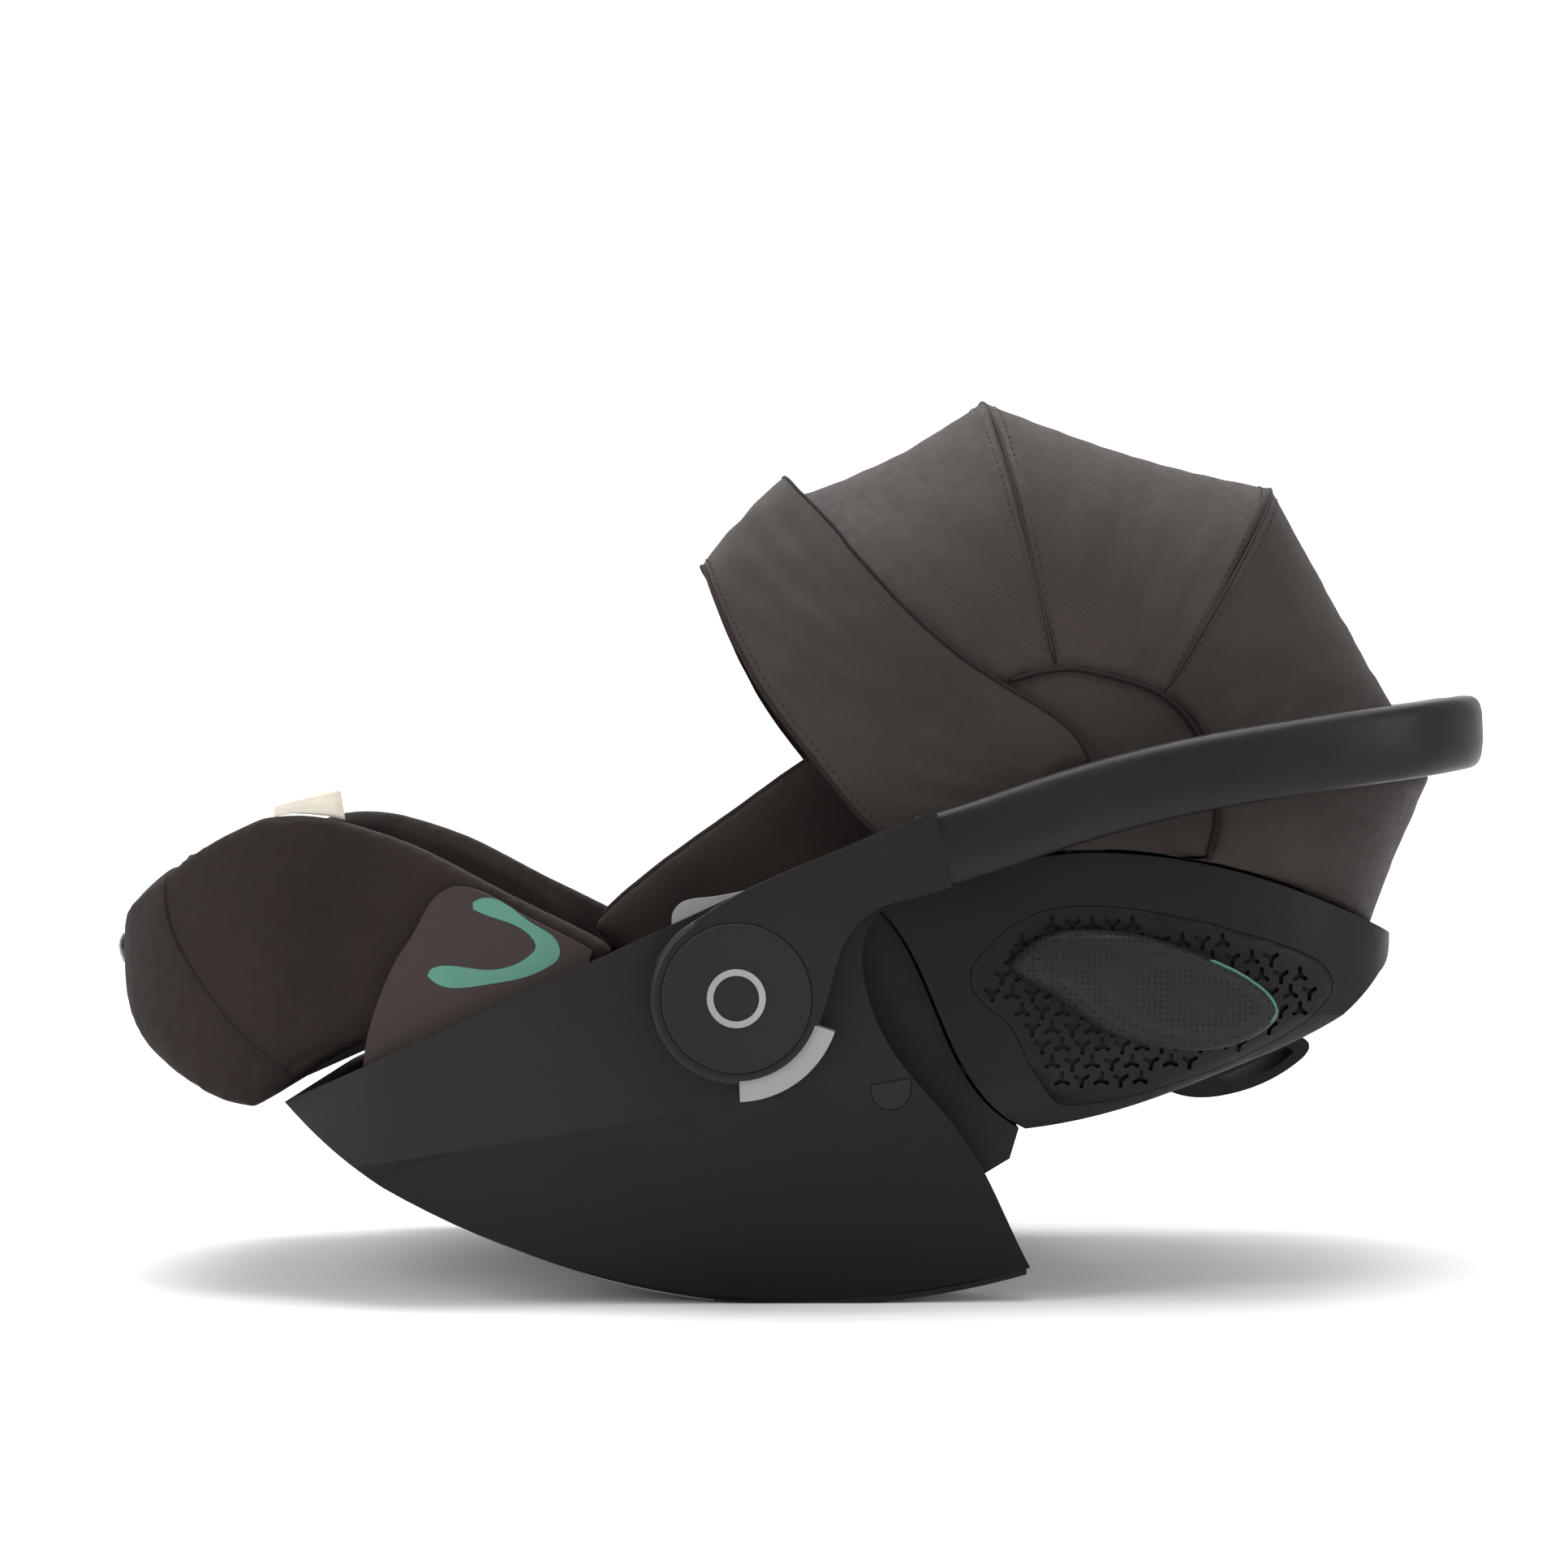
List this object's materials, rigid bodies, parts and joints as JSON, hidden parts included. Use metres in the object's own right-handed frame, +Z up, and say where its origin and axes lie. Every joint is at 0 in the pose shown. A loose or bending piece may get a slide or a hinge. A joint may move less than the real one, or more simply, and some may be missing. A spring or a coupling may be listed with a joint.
{
  "type": "infant car seat",
  "caption": "Lie-flat infant car seat with rocker base, swinging carry handle, folding canopy, sliding padded leg rest and sprung release levers.",
  "frame": {"origin": "on the floor under the middle of the overall length and width", "axes": "+X along the seat towards the head end, +Y across it, +Z up; XZ is the symmetry plane"},
  "size_m": [0.7882, 0.44, 0.5044],
  "materials": {
    "base_plastic": "satin",
    "shell_plastic": "satin",
    "handle_plastic": "satin",
    "grey_plastic": "satin",
    "fairing_plastic": "matte",
    "mint_trim": "matte",
    "red_button": "gloss",
    "runner_rubber": "matte",
    "steel": "brushed",
    "foam": "matte",
    "seat_fabric": "woven",
    "canopy_fabric": "woven",
    "belt_webbing": "woven",
    "tag_fabric": "woven",
    "loop_webbing": "woven"
  },
  "bodies": {
    "base": {"base_shell": "base_plastic", "rocker_runners": "runner_rubber", "rocker_pads": "grey_plastic", "lock_bar_front": "steel", "lock_bar_rear": "steel", "adapter_plates": "base_plastic", "shell_screws": "steel", "hub_axle_left": "steel", "hub_axle_right": "steel", "seat_pan": "shell_plastic", "seat_cushion": "seat_fabric", "crotch_strap": "belt_webbing", "buckle": "shell_plastic"},
    "travel_release_left": {"travel_release_left": "grey_plastic"},
    "travel_release_right": {"travel_release_right": "grey_plastic"},
    "buckle_button": {"buckle_button": "red_button"},
    "adjuster_button": {"adjuster_button": "grey_plastic"},
    "leg_rest": {"leg_board": "shell_plastic", "leg_cover": "seat_fabric", "leg_fairing_left": "fairing_plastic", "leg_fairing_right": "fairing_plastic", "leg_stripes": "mint_trim", "front_tag": "tag_fabric", "front_loop": "loop_webbing"},
    "backrest": {"recline_frame": "shell_plastic", "back_shell": "shell_plastic", "vent_panel_left": "shell_plastic", "vent_panel_right": "shell_plastic", "foam_liner": "foam", "back_cushion": "seat_fabric", "side_wing_left": "seat_fabric", "side_wing_right": "seat_fabric", "shoulder_belts": "belt_webbing", "rear_bow": "shell_plastic", "canopy_rear": "canopy_fabric", "canopy_mid": "canopy_fabric", "canopy_sides": "canopy_fabric", "canopy_pivots": "shell_plastic", "pod_plinth_left": "mint_trim", "pod_plinth_right": "mint_trim"},
    "headrest": {"headrest_shell": "shell_plastic", "headrest_pad": "seat_fabric"},
    "recline_grip": {"recline_grip": "shell_plastic", "grip_tab": "mint_trim"},
    "side_pod_left": {"side_pod_left": "shell_plastic"},
    "side_pod_right": {"side_pod_right": "shell_plastic"},
    "canopy": {"top_bow": "shell_plastic", "canopy_front": "canopy_fabric"},
    "visor": {"visor_bow": "shell_plastic", "visor": "canopy_fabric"},
    "handle": {"carry_handle": "handle_plastic", "hub_cap_left": "handle_plastic", "hub_cap_right": "handle_plastic", "hub_badges": "grey_plastic"},
    "handle_button_left": {"handle_button_left": "grey_plastic"},
    "handle_button_right": {"handle_button_right": "grey_plastic"}
  },
  "joints": [
    {"name": "backrest_recline", "type": "hinge", "parent": "base", "child": "backrest", "pos_m": [-0.0274, 0, 0.17], "axis": [0, -1, 0], "range_deg": [0, 27]},
    {"name": "leg_rest_slide", "type": "slide", "parent": "base", "child": "leg_rest", "axis": [0.9078, 0, 0.4195], "range_m": [0, 0.04]},
    {"name": "handle_swing", "type": "hinge", "parent": "base", "child": "handle", "pos_m": [-0.0274, 0, 0.17], "axis": [0, -1, 0], "range_deg": [0, 146]},
    {"name": "handle_button_left_press", "type": "slide", "parent": "handle", "child": "handle_button_left", "axis": [0, 1, 0], "range_m": [0, 0.004], "stiffness_N_per_m": 1500},
    {"name": "handle_button_right_press", "type": "slide", "parent": "handle", "child": "handle_button_right", "axis": [0, -1, 0], "range_m": [0, 0.004], "stiffness_N_per_m": 1500},
    {"name": "travel_release_left_pull", "type": "slide", "parent": "base", "child": "travel_release_left", "axis": [0, 0, 1], "range_m": [0, 0.008], "stiffness_N_per_m": 600},
    {"name": "travel_release_right_pull", "type": "slide", "parent": "base", "child": "travel_release_right", "axis": [0, 0, 1], "range_m": [0, 0.008], "stiffness_N_per_m": 600},
    {"name": "canopy_fold", "type": "hinge", "parent": "backrest", "child": "canopy", "pos_m": [0.1606, 0, 0.263], "axis": [0, 1, 0], "range_deg": [0, 27], "deforming": ["canopy_mid"]},
    {"name": "visor_fold", "type": "hinge", "parent": "canopy", "child": "visor", "pos_m": [0.1606, 0, 0.263], "axis": [0, 1, 0], "range_deg": [0, 22], "deforming": ["canopy_front"]},
    {"name": "headrest_slide", "type": "slide", "parent": "backrest", "child": "headrest", "axis": [0.9273, 0, 0.3743], "range_m": [-0.05, 0.02]},
    {"name": "recline_grip_pull", "type": "slide", "parent": "backrest", "child": "recline_grip", "axis": [0.9273, 0, 0.3743], "range_m": [0, 0.012], "stiffness_N_per_m": 900},
    {"name": "side_pod_left_swing", "type": "hinge", "parent": "backrest", "child": "side_pod_left", "pos_m": [0.1206, -0.1705, 0.188], "axis": [0, 0, -1], "range_deg": [-4.5, 0]},
    {"name": "side_pod_right_swing", "type": "hinge", "parent": "backrest", "child": "side_pod_right", "pos_m": [0.1206, 0.1705, 0.188], "axis": [0, 0, 1], "range_deg": [-4.5, 0]},
    {"name": "buckle_button_press", "type": "slide", "parent": "base", "child": "buckle_button", "axis": [0.5879, 0, -0.8089], "range_m": [0, 0.002], "stiffness_N_per_m": 800},
    {"name": "adjuster_button_press", "type": "slide", "parent": "base", "child": "adjuster_button", "axis": [0, 0, -1], "range_m": [0, 0.0015], "stiffness_N_per_m": 800}
  ],
  "couplings": [
    {"joint": "leg_rest_slide", "follows": "backrest_recline", "m_per_rad": 0.0848}
  ]
}
